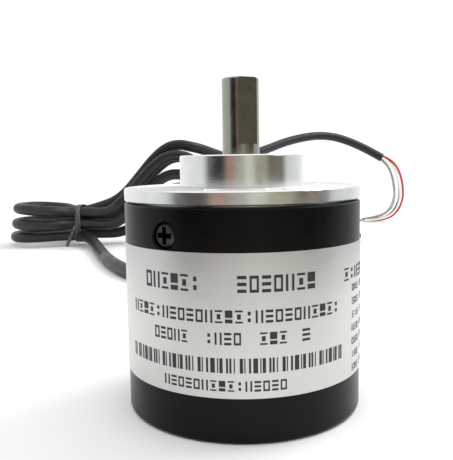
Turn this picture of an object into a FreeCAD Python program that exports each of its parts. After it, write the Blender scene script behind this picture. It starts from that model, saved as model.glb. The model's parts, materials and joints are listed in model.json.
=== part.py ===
"""Rotary encoder, 38 mm size, with a 6 mm D shaft and a tied-up signal cable.

Millimetres. The origin is the centre of the base, +Z runs along the shaft, and the cable leaves towards +Y.
"""
import FreeCAD, Part
import math
import os
import Sketcher
from FreeCAD import Placement, Rotation, Vector

DIMENSIONS = [
    # housing
    ("flange_d", 38), ("flange_top", 35.5), ("flange_thick", 2), ("edge_break", 0.18),
    ("boss_d", 20), ("boss_rise", 5), ("spigot_drop", 9), ("spigot_slack", 0.05),
    ("skirt_bore_d", 25.2), ("seat_tube_d", 17), ("relief_depth", 7), ("land_bore_d", 11.2),
    ("tap_d", 2.5), ("tap_depth", 6), ("inner_circle", 28), ("outer_circle", 30),
    # cover
    ("cover_gap", 0.3), ("cover_wall", 2), ("cover_floor", 2), ("cover_fillet", 0.7),
    ("cover_screw_level", 29.2), ("cover_screw_head_d", 3.5), ("cover_screw_sink_d", 4), ("cover_seat", 0.7),
    ("label_low", 6.8), ("label_high", 27.15), ("label_thick", 0.08), ("label_sweep", 320),
    # shaft
    ("shaft_d", 6), ("shaft_reach", 12.2), ("shaft_foot", 18.2), ("shaft_chamfer", 0.2),
    ("flat_depth", 0.5), ("flat_span", 10.5), ("flat_angle", -63.5), ("groove_depth", 0.3), ("clip_thick", 0.7),
    ("clip_d", 7.8),
    # bearings
    ("bearing_d", 13), ("bearing_width", 5), ("ball_circle", 9.5), ("ball_d", 1.94), ("race_gap", 0.05),
    ("ring_slack", 0.01), ("inner_ring_d", 8.2), ("outer_ring_bore", 10.8), ("shield_thick", 0.2),
    ("front_bearing_base", 34.2), ("rear_bearing_base", 25.4), ("spring_height", 0.7), ("spring_thick", 0.25),
    # code disc and optics
    ("hub_base", 19.4), ("hub_flange_d", 17), ("hub_flange_thick", 1), ("hub_d", 11), ("hub_tall", 4.5),
    ("disc_d", 24.4), ("disc_thick", 0.4), ("track_radius", 10.6), ("reticle_gap", 0.4), ("reticle_thick", 0.4),
    ("holder_low", 21.2), ("lead_pitch", 2.54), ("lead_d", 0.5), ("lead_radius", 15.4),
    # circuit board
    ("board_d", 32.4), ("board_low", 14.6), ("board_thick", 1.6), ("post_circle", 29), ("post_flats", 3.2),
    ("screw_d", 2), ("pan_head_d", 3.8), ("pan_head_tall", 1.3),
    # cable
    ("cable_d", 5), ("cable_level", 6.5), ("jacket_start", 4), ("wire_d", 1.1), ("core_d", 1.3), ("shield_d", 1.5),
    ("grommet_d", 9), ("grommet_neck_d", 7), ("grommet_lip", 1.6), ("snout_reach", 25),
]
SCREW_ANGLES = (-126, -6, 114)
INNER_TAP_ANGLES = (-107.5, 12.5, 132.5)
OUTER_TAP_ANGLES = (-72, 48, 168)
POST_ANGLES = (30, 150, 270)
BALL_COUNT = 7
WIRE_COLOURS = ("green", "black", "red", "white", "shield")

doc = FreeCAD.newDocument("rotary_encoder")
dim = doc.addObject("Spreadsheet::Sheet", "dim")
for row, (alias, value) in enumerate(DIMENSIONS, start=1):
    dim.set(f"A{row}", alias)
    dim.set(f"B{row}", str(value))
    dim.setAlias(f"B{row}", alias)
doc.recompute()

# Levels and radii that several pieces share, as expressions of the sheet's cells.
FLANGE_BOTTOM = "(dim.flange_top - dim.flange_thick)"
BOSS_TOP = "(dim.flange_top + dim.boss_rise)"
SPIGOT_BOTTOM = f"({FLANGE_BOTTOM} - dim.spigot_drop)"
COVER_TOP = f"({FLANGE_BOTTOM} - dim.cover_gap)"
COVER_BORE_R = "(dim.flange_d / 2 - dim.cover_wall)"
SPIGOT_R = f"({COVER_BORE_R} - dim.spigot_slack)"
SEAT_R = "(dim.bearing_d / 2 + dim.ring_slack)"
SHAFT_TOP = f"({BOSS_TOP} + dim.shaft_reach)"
SPRING_BASE = "(dim.rear_bearing_base + dim.bearing_width)"
HEAD_SEAT_R = f"({COVER_BORE_R} + dim.cover_seat)"
BOARD_TOP = "(dim.board_low + dim.board_thick)"
DISC_LOW = "(dim.hub_base - dim.disc_thick)"
RETICLE_LOW = f"({DISC_LOW} - dim.reticle_gap - dim.reticle_thick)"
POST_R = "(dim.post_circle / 2)"

pieces = []


def amount(expression):
    """The value of an expression of the sheet's cells, in millimetres or degrees."""
    return float(dim.evalExpression(expression))


def keep(thing, label):
    """Name a finished piece and put it on the list of pieces."""
    thing.Label = label
    pieces.append(thing)
    return thing


# ---------------------------------------------------------------- ways of making solids

def turned(name, outline):
    """A body turned about Z from an outline of (radius, level) expressions."""
    body = doc.addObject("PartDesign::Body", name + "_turned")
    sketch = body.newObject("Sketcher::SketchObject", name + "_outline")
    plane = next(feature for feature in body.Origin.OriginFeatures if feature.Role == "XZ_Plane")
    sketch.AttachmentSupport = [(plane, "")]
    sketch.MapMode = "FlatFace"
    corners = [Vector(amount(radius), amount(level), 0) for radius, level in outline]
    count = len(corners)
    for index, corner in enumerate(corners):
        sketch.addGeometry(Part.LineSegment(corner, corners[(index + 1) % count]))
    for index, (radius, level) in enumerate(outline):
        sketch.addConstraint(Sketcher.Constraint("Coincident", index, 2, (index + 1) % count, 1))
        for kind, expression, axis in (("DistanceX", radius, -2), ("DistanceY", level, -1)):
            value = amount(expression)
            if value == 0:
                sketch.addConstraint(Sketcher.Constraint("PointOnObject", index, 1, axis))
            else:
                place = sketch.addConstraint(Sketcher.Constraint(kind, -1, 1, index, 1, value))
                sketch.setExpression(f"Constraints[{place}]", expression)
    turn = body.newObject("PartDesign::Revolution", name + "_revolution")
    turn.Profile = sketch
    turn.ReferenceAxis = (sketch, ["V_Axis"])
    turn.Angle = 360
    sketch.Visibility = False
    return body


def solid(kind, name, place, rotation=None, **sizes):
    """A Part primitive whose sizes and place are expressions."""
    thing = doc.addObject("Part::" + kind, name)
    if rotation:
        thing.Placement = Placement(Vector(), rotation)
    for size, expression in sizes.items():
        thing.setExpression(size, expression)
    for axis, expression in zip("xyz", place):
        thing.setExpression("Placement.Base." + axis, expression)
    return thing


def box(name, low, high):
    """A box between two corners given as expressions."""
    spans = [f"({top}) - ({bottom})" for bottom, top in zip(low, high)]
    return solid("Box", name, low, Length=spans[0], Width=spans[1], Height=spans[2])


def polar(radius, angle):
    """The x and y expressions of a point at a radius and an angle from +X."""
    return f"({radius}) * cos({angle})", f"({radius}) * sin({angle})"


def pin(name, radius, centre, low, high):
    """An upright cylinder between two levels."""
    return solid("Cylinder", name, (*centre, low), Radius=radius, Height=f"({high}) - ({low})")


def spoke(name, radius, angle, level, inner, outer, kind="Cylinder"):
    """A cylinder, or a cone with two radii, that lies along a spoke from one radius to another."""
    lie = Rotation(Vector(0, 0, 1), angle) * Rotation(Vector(0, 1, 0), 90)
    length = f"({outer}) - ({inner})"
    place = (*polar(inner, angle), level)
    if kind == "Cone":
        return solid("Cone", name, place, lie, Radius1=radius[0], Radius2=radius[1], Height=length)
    return solid("Cylinder", name, place, lie, Radius=radius, Height=length)


def joined(kind, name, parts):
    """A Part::MultiFuse, Part::MultiCommon or Part::Compound of the parts."""
    thing = doc.addObject("Part::" + kind, name)
    if kind == "Compound":
        thing.Links = list(parts)
    else:
        thing.Shapes = list(parts)
    return thing


def cut(name, base, tools):
    """The base less all the tools."""
    thing = doc.addObject("Part::Cut", name)
    thing.Base = base
    thing.Tool = tools[0] if len(tools) == 1 else joined("Compound", name + "_tools", tools)
    return thing


def ring(name, outer, inner, low, high, centre=("0", "0")):
    """A plain ring: an upright cylinder with a bore."""
    wall = pin(name + "_wall", outer, centre, low, high)
    bore = pin(name + "_bore", inner, centre, f"({low}) - 1", f"({high}) + 1")
    return cut(name, wall, [bore])


def shaped(name, shape):
    """A piece whose shape is made by Part's own functions."""
    thing = doc.addObject("Part::Feature", name)
    thing.Shape = shape
    return thing


# ---------------------------------------------------------------- housing and cover

def make_housing():
    flange_r = "dim.flange_d / 2"
    boss_r = "dim.boss_d / 2"
    relief_top = f"{SPIGOT_BOTTOM} + dim.relief_depth"
    land_low = f"{SPRING_BASE} + dim.spring_height"
    blank = turned("housing", [
        (SEAT_R, SPIGOT_BOTTOM),
        ("dim.seat_tube_d / 2", SPIGOT_BOTTOM),
        ("dim.seat_tube_d / 2", relief_top),
        ("dim.skirt_bore_d / 2", relief_top),
        ("dim.skirt_bore_d / 2", SPIGOT_BOTTOM),
        (SPIGOT_R, SPIGOT_BOTTOM),
        (SPIGOT_R, FLANGE_BOTTOM),
        (f"{flange_r} - dim.edge_break", FLANGE_BOTTOM),
        (flange_r, f"{FLANGE_BOTTOM} + dim.edge_break"),
        (flange_r, "dim.flange_top - dim.edge_break"),
        (f"{flange_r} - dim.edge_break", "dim.flange_top"),
        (boss_r, "dim.flange_top"),
        (boss_r, f"{BOSS_TOP} - dim.edge_break"),
        (f"{boss_r} - dim.edge_break", BOSS_TOP),
        (f"{SEAT_R} + dim.edge_break", BOSS_TOP),
        (SEAT_R, f"{BOSS_TOP} - dim.edge_break"),
        (SEAT_R, "dim.front_bearing_base"),
        ("dim.land_bore_d / 2", "dim.front_bearing_base"),
        ("dim.land_bore_d / 2", land_low),
        (SEAT_R, land_low),
    ])
    holes = []
    countersink = "0.35"
    for circle, angles in (("dim.inner_circle / 2", INNER_TAP_ANGLES), ("dim.outer_circle / 2", OUTER_TAP_ANGLES)):
        for angle in angles:
            centre = polar(circle, angle)
            tag = f"{len(holes)}"
            holes.append(pin("tap_" + tag, "dim.tap_d / 2", centre, "dim.flange_top - dim.tap_depth", "dim.flange_top"))
            holes.append(solid("Cone", "tap_mouth_" + tag, (*centre, f"dim.flange_top - {countersink}"),
                               Radius1="dim.tap_d / 2", Radius2=f"dim.tap_d / 2 + {countersink}", Height=countersink))
    for angle in SCREW_ANGLES:
        holes.append(spoke("cover_tap", "dim.screw_d / 2", angle, "dim.cover_screw_level",
                           "dim.skirt_bore_d / 2 + 0.4", f"{SPIGOT_R} + 1"))
    for angle in POST_ANGLES:
        holes.append(pin("post_tap", "dim.screw_d / 2", polar(POST_R, angle), SPIGOT_BOTTOM, f"{SPIGOT_BOTTOM} + 3.4"))
    for x in HOLDER_SCREW_X:
        holes.append(pin("holder_tap", "dim.screw_d / 2", (x, HOLDER_SCREW_Y), SPIGOT_BOTTOM, f"{SPIGOT_BOTTOM} + 3"))
    keep(cut("flange_drilled", blank, holes), "housing_flange")


def edge_on_circle(shape, radius, level):
    """The name of the shape's round edge with this radius at this level."""
    for number, edge in enumerate(shape.Edges, start=1):
        curve = edge.Curve
        if isinstance(curve, Part.Circle) and abs(curve.Radius - radius) + abs(curve.Center.z - level) < 1e-3:
            return f"Edge{number}"
    raise ValueError("no such edge")


def make_cover():
    outer_r = "dim.flange_d / 2"
    body = turned("cover", [
        ("0", "0"),
        (outer_r, "0"),
        (outer_r, f"{COVER_TOP} - dim.edge_break"),
        (f"{outer_r} - dim.edge_break", COVER_TOP),
        (COVER_BORE_R, COVER_TOP),
        (COVER_BORE_R, "dim.cover_floor"),
        ("0", "dim.cover_floor"),
    ])
    doc.recompute()
    turn = body.Tip
    rounding = body.newObject("PartDesign::Fillet", "cover_base_rounding")
    rounding.Base = (turn, [edge_on_circle(turn.Shape, amount(outer_r), 0)])
    rounding.setExpression("Radius", "dim.cover_fillet")
    holes = []
    for angle in SCREW_ANGLES:
        level = "dim.cover_screw_level"
        lip = f"{outer_r} - 0.35"
        holes.append(spoke("cover_screw_hole", "dim.screw_d / 2 + 0.1", angle, level, f"{COVER_BORE_R} - 1", outer_r))
        holes.append(spoke("cover_counterbore", "dim.cover_screw_sink_d / 2", angle, level, HEAD_SEAT_R, f"{outer_r} + 1"))
        holes.append(spoke("cover_sink_lip", ("dim.cover_screw_sink_d / 2", "dim.cover_screw_sink_d / 2 + 0.5"),
                           angle, level, lip, f"{lip} + 0.5", kind="Cone"))
    holes.append(spoke("cable_hole", "dim.grommet_neck_d / 2 + 0.02", 90, "dim.cable_level", f"{COVER_BORE_R} - 1",
                       f"{outer_r} + 1"))
    keep(cut("cover_drilled", body, holes), "rear_cover")


def make_cover_screws():
    """Small pan-head screws with a cross recess, held radially in the housing's skirt."""
    head_high = f"{HEAD_SEAT_R} + 1"
    screws = []
    for number, angle in enumerate(SCREW_ANGLES):
        tag = f"cover_screw_{number}"
        level = "dim.cover_screw_level"
        head_r = "dim.cover_screw_head_d / 2"
        shank = spoke(tag + "_shank", "dim.screw_d / 2 - 0.02", angle, level, "dim.skirt_bore_d / 2 + 0.6", HEAD_SEAT_R)
        head = spoke(tag + "_head", head_r, angle, level, HEAD_SEAT_R, f"{head_high} - 0.25")
        crown = spoke(tag + "_crown", (head_r, f"{head_r} - 0.3"), angle, level, f"{head_high} - 0.25", head_high,
                      kind="Cone")
        blades = []
        for width, height in (("2.6", "0.75"), ("0.75", "2.6")):
            inner = f"({head_high} - 0.85)"
            turn = Rotation(Vector(0, 0, 1), angle)
            x, y = polar(inner, angle)
            place = (f"{x} + {width} / 2 * sin({angle})", f"{y} - {width} / 2 * cos({angle})", f"{level} - {height} / 2")
            blades.append(solid("Box", tag + "_blade", place, turn, Length="1", Width=width, Height=height))
        body = joined("MultiFuse", tag + "_body", [shank, head, crown])
        screws.append(cut(tag, body, blades))
    keep(joined("Compound", "cover_screw_set", screws), "cover_screws")


def make_label():
    """A thin foil round the cover, open at the back where the cable comes out."""
    start = Rotation(Vector(0, 0, 1), 90 + (360 - amount("dim.label_sweep")) / 2)
    skin = solid("Cylinder", "label_skin", ("0", "0", "dim.label_low"), start,
                 Radius="dim.flange_d / 2 + dim.label_thick + 0.005", Height="dim.label_high - dim.label_low",
                 Angle="dim.label_sweep")
    core = pin("label_core", "dim.flange_d / 2 + 0.005", ("0", "0"), "dim.label_low - 1", "dim.label_high + 1")
    keep(cut("label_foil", skin, [core]), "rating_label")


# ---------------------------------------------------------------- bearings and shaft

def make_bearing(position, base):
    """A shielded deep-groove ball bearing: two rings, the balls, their cage and two shields."""
    top = f"({base} + dim.bearing_width)"
    middle = f"({base} + dim.bearing_width / 2)"
    circle_r = "dim.ball_circle / 2"
    shield_seat = "dim.outer_ring_bore / 2 + 0.2"
    bearing_r = "dim.bearing_d / 2"
    shaft_r = "dim.shaft_d / 2 + dim.ring_slack"
    inner_r = "dim.inner_ring_d / 2"
    bore_r = "dim.outer_ring_bore / 2"
    seat_depth = "(dim.shield_thick + 0.15)"
    corner = "0.2"

    def race(tag):
        return solid("Torus", f"{position}_{tag}_race", ("0", "0", middle),
                     Radius1=circle_r, Radius2="dim.ball_d / 2 + dim.race_gap")

    outer = turned(f"{position}_outer_ring", [
        (shield_seat, base), (f"{bearing_r} - {corner}", base), (bearing_r, f"{base} + {corner}"),
        (bearing_r, f"{top} - {corner}"), (f"{bearing_r} - {corner}", top), (shield_seat, top),
        (shield_seat, f"{top} - {seat_depth}"), (bore_r, f"{top} - {seat_depth}"),
        (bore_r, f"{base} + {seat_depth}"), (shield_seat, f"{base} + {seat_depth}"),
    ])
    keep(cut(f"{position}_outer_grooved", outer, [race("outer")]), f"{position}_bearing_outer_ring")
    inner = turned(f"{position}_inner_ring", [
        (shaft_r, base), (f"{inner_r} - {corner}", base), (inner_r, f"{base} + {corner}"),
        (inner_r, f"{top} - {corner}"), (f"{inner_r} - {corner}", top), (shaft_r, top),
    ])
    keep(cut(f"{position}_inner_grooved", inner, [race("inner")]), f"{position}_bearing_inner_ring")

    balls = []
    pockets = []
    for number in range(BALL_COUNT):
        angle = number * 360 / BALL_COUNT
        centre = (*polar(circle_r, angle), middle)
        balls.append(solid("Sphere", f"{position}_ball_{number}", centre, Radius="dim.ball_d / 2"))
        pockets.append(spoke(f"{position}_pocket_{number}", "dim.ball_d / 2 + 0.15", angle, middle, "2", bearing_r))
    keep(joined("Compound", f"{position}_ball_set", balls), f"{position}_bearing_balls")
    cage = ring(f"{position}_cage_blank", f"{circle_r} + 0.3", f"{circle_r} - 0.3", f"{middle} - 1.4", f"{middle} + 1.4")
    keep(cut(f"{position}_cage_pocketed", cage, pockets), f"{position}_bearing_cage")
    shields = []
    for tag, low in (("lower", f"{base} + 0.1"), ("upper", f"{top} - 0.1 - dim.shield_thick")):
        shields.append(ring(f"{position}_{tag}_shield", f"{shield_seat} - 0.01", f"{inner_r} + 0.12",
                            low, f"{low} + dim.shield_thick"))
    keep(joined("Compound", f"{position}_shield_set", shields), f"{position}_bearing_shields")


def make_spring_washer():
    """A conical spring washer that preloads the rear bearing's outer ring."""
    low = SPRING_BASE
    high = f"{SPRING_BASE} + dim.spring_height"
    outer_r = "dim.bearing_d / 2 - 0.1"
    inner_r = "dim.land_bore_d / 2 + 0.15"
    body = turned("spring_washer", [
        (outer_r, low), (outer_r, f"{low} + dim.spring_thick"),
        (inner_r, high), (inner_r, f"{high} - dim.spring_thick"),
    ])
    keep(body, "preload_spring_washer")


def make_shaft():
    shaft_r = "dim.shaft_d / 2"
    groove_r = f"{shaft_r} - dim.groove_depth"
    chamfer = "dim.shaft_chamfer"
    front_groove = "(dim.front_bearing_base + dim.bearing_width)"
    rear_groove = "(dim.rear_bearing_base - dim.clip_thick)"
    blank = turned("shaft", [
        ("0", "dim.shaft_foot"), (f"{shaft_r} - {chamfer}", "dim.shaft_foot"),
        (shaft_r, f"dim.shaft_foot + {chamfer}"),
        (shaft_r, rear_groove), (groove_r, rear_groove),
        (groove_r, "dim.rear_bearing_base"), (shaft_r, "dim.rear_bearing_base"),
        (shaft_r, front_groove), (groove_r, front_groove),
        (groove_r, f"{front_groove} + dim.clip_thick"), (shaft_r, f"{front_groove} + dim.clip_thick"),
        (shaft_r, f"{SHAFT_TOP} - {chamfer}"), (f"{shaft_r} - {chamfer}", SHAFT_TOP),
        ("0.8", SHAFT_TOP), ("0", f"{SHAFT_TOP} - 0.7"),
    ])
    angle = "dim.flat_angle"
    x, y = polar(f"{shaft_r} - dim.flat_depth", angle)
    half = "dim.shaft_d"
    place = (f"{x} + {half} * sin({angle})", f"{y} - {half} * cos({angle})", f"{SHAFT_TOP} - dim.flat_span")
    mill = solid("Box", "flat_mill", place, Rotation(Vector(0, 0, 1), amount(angle)),
                 Length="dim.shaft_d", Width="dim.shaft_d * 2", Height="dim.flat_span + 1")
    keep(cut("shaft_with_flat", blank, [mill]), "shaft")
    make_clip("front", front_groove, groove_r)
    make_clip("rear", rear_groove, groove_r)


def make_clip(position, low, groove_r):
    """An open retaining ring that sits in one of the shaft's grooves."""
    base = f"{low} + 0.01"
    whole = ring(f"{position}_clip_ring", "dim.clip_d / 2", f"{groove_r} + 0.02", base, f"{base} + dim.clip_thick - 0.02")
    mouth = box(f"{position}_clip_mouth", ("-1.6", "0", f"{low} - 1"), ("1.6", "dim.clip_d", f"{low} + 2"))
    keep(cut(f"{position}_clip_open", whole, [mouth]), f"{position}_retaining_clip")


# ---------------------------------------------------------------- code disc and optics

HOLDER_SCREW_X = ("-4.2", "4.2")
HOLDER_SCREW_Y = "13.6"
RETICLE_SPAN = (("-4", "8.4"), ("4", "12.8"))


def make_code_disc():
    shaft_r = "dim.shaft_d / 2 + dim.ring_slack"
    flange_top = "(dim.hub_base + dim.hub_flange_thick)"
    hub_top = "(dim.hub_base + dim.hub_tall)"
    grub_level = f"({flange_top} + 1.8)"
    blank = turned("hub", [
        (shaft_r, "dim.hub_base"), ("dim.hub_flange_d / 2", "dim.hub_base"),
        ("dim.hub_flange_d / 2", flange_top), ("dim.hub_d / 2", flange_top),
        ("dim.hub_d / 2", f"{hub_top} - 0.3"), ("dim.hub_d / 2 - 0.3", hub_top), (shaft_r, hub_top),
    ])
    hole = spoke("grub_hole", "dim.tap_d / 2", 0, grub_level, "0", "dim.hub_d")
    keep(cut("hub_drilled", blank, [hole]), "code_disc_hub")
    plug = spoke("grub_plug", "dim.tap_d / 2 - 0.02", 0, grub_level, f"{shaft_r} + 0.02", "dim.hub_d / 2 - 0.2")
    key = solid("Prism", "grub_key", ("dim.hub_d / 2 - 1.2", "0", grub_level), Rotation(Vector(0, 1, 0), 90),
                Circumradius="0.75", Height="2")
    keep(cut("grub_body", plug, [key]), "hub_grub_screw")
    keep(ring("disc_glass", "dim.disc_d / 2", "dim.shaft_d / 2 + 0.2", DISC_LOW, "dim.hub_base"), "code_disc")


def make_optics():
    """The lamp above the disc's tracks, and the slit plate and light sensor below them."""
    track = "dim.track_radius"
    holder_low = "dim.holder_low"
    block = box("holder_block", ("-6", "8.8", holder_low), ("6", "15", SPIGOT_BOTTOM))
    lamp_hole = pin("holder_lamp_hole", "1.55", ("0", track), f"{holder_low} - 1", f"{SPIGOT_BOTTOM} + 1")
    slot = box("holder_slot", ("-1.9", track, f"{holder_low} + 1.2"), ("1.9", "16", f"{SPIGOT_BOTTOM} - 1"))
    screw_holes = [pin("holder_screw_hole", "dim.screw_d / 2 + 0.05", (x, HOLDER_SCREW_Y), f"{holder_low} - 1",
                       f"{SPIGOT_BOTTOM} + 1") for x in HOLDER_SCREW_X]
    keep(cut("holder_cut", block, [lamp_hole, slot] + screw_holes), "lamp_holder")
    screws = []
    for number, x in enumerate(HOLDER_SCREW_X):
        shank = pin(f"holder_screw_shank_{number}", "dim.screw_d / 2 - 0.02", (x, HOLDER_SCREW_Y), holder_low,
                    f"{SPIGOT_BOTTOM} + 2.8")
        head = pin(f"holder_screw_head_{number}", "1.5", (x, HOLDER_SCREW_Y), f"{holder_low} - 1", holder_low)
        screws.append(joined("MultiFuse", f"holder_screw_{number}", [shank, head]))
    keep(joined("Compound", "holder_screw_set", screws), "lamp_holder_screws")

    lamp_low = f"({holder_low} - 0.2)"
    lamp_top = f"({SPIGOT_BOTTOM} - 0.6)"
    dome = solid("Sphere", "lamp_dome", ("0", track, lamp_low), Radius="1.2")
    stem = pin("lamp_stem", "1.5", ("0", track), lamp_low, lamp_top)
    keep(joined("MultiFuse", "lamp_body", [stem, dome]), "lamp_emitter")
    leads = []
    lead_level = amount(f"{lamp_low} + 2")
    for x in (-amount("dim.lead_pitch") / 2, amount("dim.lead_pitch") / 2):
        points = [Vector(x, amount(f"{track} + 0.9"), lead_level), Vector(x, amount("dim.lead_radius"), lead_level),
                  Vector(x, amount("dim.lead_radius"), amount("dim.board_low - 0.6"))]
        leads.append(tube(points, amount("dim.lead_d"), bend=0.35))
    keep(shaped("lead_wires", Part.makeCompound(leads)), "lamp_leads")

    (left, front), (right, back) = RETICLE_SPAN
    keep(box("slit_plate", (left, front, RETICLE_LOW), (right, back, f"{RETICLE_LOW} + dim.reticle_thick")), "reticle")
    frame = box("slit_frame", (f"{left} - 1", f"{front} - 0.8", BOARD_TOP), (f"{right} + 1", f"{back} + 0.8", RETICLE_LOW))
    window = box("slit_window", (f"{left} + 0.8", f"{front} + 0.6", f"{BOARD_TOP} - 1"),
                 (f"{right} - 0.8", f"{back} - 0.6", f"{RETICLE_LOW} + 1"))
    keep(cut("slit_frame_open", frame, [window]), "reticle_holder")
    keep(box("sensor_chip", ("-2.6", f"{track} - 1.4", BOARD_TOP), ("2.6", f"{track} + 1.4", f"{BOARD_TOP} + 1.2")),
         "photosensor")


# ---------------------------------------------------------------- circuit board

PAD_PITCH = 2.5
PAD_Y = -11.4
PAD_ORDER = ("black", "green", "red", "white", "shield")


def pad_places():
    """Where the cable's wires are soldered: the place of each wire's pad, in one row."""
    first = -(len(PAD_ORDER) - 1) / 2 * PAD_PITCH
    return {colour: (first + number * PAD_PITCH, PAD_Y) for number, colour in enumerate(PAD_ORDER)}


def make_board():
    low = "dim.board_low"
    plate = pin("board_plate", "dim.board_d / 2", ("0", "0"), low, BOARD_TOP)
    holes = []
    for angle in POST_ANGLES:
        holes.append(pin("board_post_hole", "dim.screw_d / 2 + 0.05", polar(POST_R, angle), f"{low} - 1", f"{BOARD_TOP} + 1"))
    for side in (-1, 1):
        holes.append(pin("board_lead_hole", "0.35", (f"{side} * dim.lead_pitch / 2", "dim.lead_radius"), f"{low} - 1",
                         f"{BOARD_TOP} + 1"))
    for x, y in pad_places().values():
        holes.append(pin("board_pad_hole", "0.6", (str(x), str(y)), f"{low} - 1", f"{BOARD_TOP} + 1"))
    keep(cut("board_drilled", plate, holes), "circuit_board")

    posts = []
    screws = []
    for number, angle in enumerate(POST_ANGLES):
        centre = polar(POST_R, angle)
        post = solid("Prism", f"post_hex_{number}", (*centre, BOARD_TOP), Rotation(Vector(0, 0, 1), angle + 30),
                     Circumradius="dim.post_flats / sqrt(3)", Height=f"{SPIGOT_BOTTOM} - {BOARD_TOP}")
        stud = pin(f"post_stud_{number}", "dim.screw_d / 2 - 0.02", centre, SPIGOT_BOTTOM, f"{SPIGOT_BOTTOM} + 3")
        bore = pin(f"post_bore_{number}", "dim.screw_d / 2", centre, f"{BOARD_TOP} - 1", f"{BOARD_TOP} + 4")
        posts.append(cut(f"post_{number}", joined("MultiFuse", f"post_body_{number}", [post, stud]), [bore]))
        shank = pin(f"board_screw_shank_{number}", "dim.screw_d / 2 - 0.02", centre, low, f"{BOARD_TOP} + 3.5")
        head = pin(f"board_screw_head_{number}", "dim.pan_head_d / 2", centre, f"{low} - dim.pan_head_tall", low)
        slot = box(f"board_screw_slot_{number}", (f"{centre[0]} - 2", f"{centre[1]} - 0.25", f"{low} - 2"),
                   (f"{centre[0]} + 2", f"{centre[1]} + 0.25", f"{low} - 0.7"))
        screws.append(cut(f"board_screw_{number}", joined("MultiFuse", f"board_screw_body_{number}", [shank, head]), [slot]))
    keep(joined("Compound", "post_set", posts), "board_standoffs")
    keep(joined("Compound", "board_screw_set", screws), "board_screws")


def hung(name, x, y, length, width, tall):
    """A component under the board, centred at x and y."""
    low = (f"{x} - {length} / 2", f"{y} - {width} / 2", f"dim.board_low - {tall}")
    high = (f"{x} + {length} / 2", f"{y} + {width} / 2", "dim.board_low")
    return box(name, low, high)


def make_components():
    legs = []
    for side in (-1, 1):
        for number in range(7):
            x = (number - 3) * 1.27
            legs.append(hung("chip_leg", x, -4.5 + side * 2.4, 0.4, 1.2, 0.5))
    body = hung("chip_body", 0, -4.5, 8.6, 3.9, 1.5)
    keep(joined("MultiFuse", "chip", [body] + legs), "comparator_chip")
    tab = hung("regulator_tab", -9, 6, 1.8, 1.4, 0.5)
    keep(joined("MultiFuse", "regulator", [hung("regulator_body", -9, 4.2, 4.5, 2.5, 1.5), tab]), "voltage_regulator")
    transistors = [hung("output_transistor", x, -8.6, 2.9, 1.3, 1.1) for x in (-7.2, 7.2)]
    keep(joined("Compound", "transistor_set", transistors), "output_transistors")
    resistors = [hung("resistor", x, y, 1.25, 2, 0.5) for x in (-10.5, -8, 8, 10.5) for y in (-3, 0)]
    keep(joined("Compound", "resistor_set", resistors), "board_resistors")
    capacitors = [hung("chip_capacitor", x, 0.4, 1.25, 2, 0.9) for x in (-4, 4)]
    can = pin("can_capacitor", "2", ("9", "5.4"), "dim.board_low - 5.4", "dim.board_low")
    keep(joined("Compound", "capacitor_set", capacitors + [can]), "board_capacitors")
    joints = []
    for x, y in pad_places().values():
        joints.append(solid("Cone", "wire_solder", (str(x), str(y), BOARD_TOP), Radius1="0.95", Radius2="0.4", Height="0.8"))
    for side in (-1, 1):
        collar = ring("lead_solder", "0.62", "dim.lead_d / 2 + 0.01", "dim.board_low - 0.5", "dim.board_low",
                      (f"{side} * dim.lead_pitch / 2", "dim.lead_radius"))
        joints.append(collar)
    keep(joined("Compound", "solder_set", joints), "solder_joints")


# ---------------------------------------------------------------- cable

ARC_SHARE = 0.45


def rounded_path(points, bend):
    """Straight runs joined by tangent arcs, each as large as its two runs allow; also the arcs' radii."""
    edges = []
    radii = []
    start = points[0]
    for before, corner, after in zip(points, points[1:], points[2:]):
        back = before - corner
        ahead = after - corner
        trim = bend * min(back.Length, ahead.Length)
        half_turn = (math.pi - back.getAngle(ahead)) / 2
        radius = trim / math.tan(half_turn)
        back.normalize()
        ahead.normalize()
        inward = (back + ahead).normalize()
        arc_start = corner + back * trim
        arc_end = corner + ahead * trim
        arc_middle = corner + inward * (radius / math.cos(half_turn) - radius)
        edges.append(Part.LineSegment(start, arc_start).toShape())
        edges.append(Part.Arc(arc_start, arc_middle, arc_end).toShape())
        radii.append(radius)
        start = arc_end
    edges.append(Part.LineSegment(start, points[-1]).toShape())
    return Part.Wire(edges), radii


def tube(points, diameter, bend=ARC_SHARE):
    """A round tube along a rounded path; its volume has to match its section times its length."""
    path, radii = rounded_path(points, bend)
    circle = Part.Circle(points[0], points[1] - points[0], diameter / 2).toShape()
    shape = path.makePipeShell([Part.Wire([circle])], True, False)
    expected = math.pi * diameter ** 2 / 4 * path.Length
    if abs(shape.Volume / expected - 1) > 0.01:
        raise ValueError("the tube's volume does not match its length")
    print(f"tube {diameter} mm, {path.Length:.0f} mm long, arc radii", [round(radius, 1) for radius in radii])
    return shape


def points_of(*places):
    return [Vector(*place) for place in places]


# From inside the housing, out through the grommet, and along the table to the tied bundle.
LEAD_ROUTE = points_of((0, 4, 6.5), (0, 40, 6.5), (-8, 68, 2.9), (-24, 90, 2.6), (-40, 107, 2.6), (-50, 128, 2.6),
                       (-58, 150, 2.6), (-65, 171, 2.8), (-71.5, 187.5, 4.2))
# From the top of the bundle's arch over to the stripped end.
FREE_END_ROUTE = points_of((-19, 203.2, 45.8), (-12.5, 210.5, 43.3), (-7.5, 221.5, 41.6), (-1, 236, 41.4),
                           (12, 257, 45.2), (31, 277, 52.5), (53, 288.5, 55.7), (74, 291, 49), (88, 290, 40.5))
# The wires past the jacket's end: first the direction of the jacket, then down to the table and back.
CORE_ROUTE = points_of((88, 290, 40.5), (92.3, 289.7, 37.9), (96.2, 290, 32), (98.6, 290.4, 23), (99, 291, 13.5),
                       (95, 292, 5.2), (86.5, 293, 1.9), (77.8, 294, 1.3))
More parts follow.
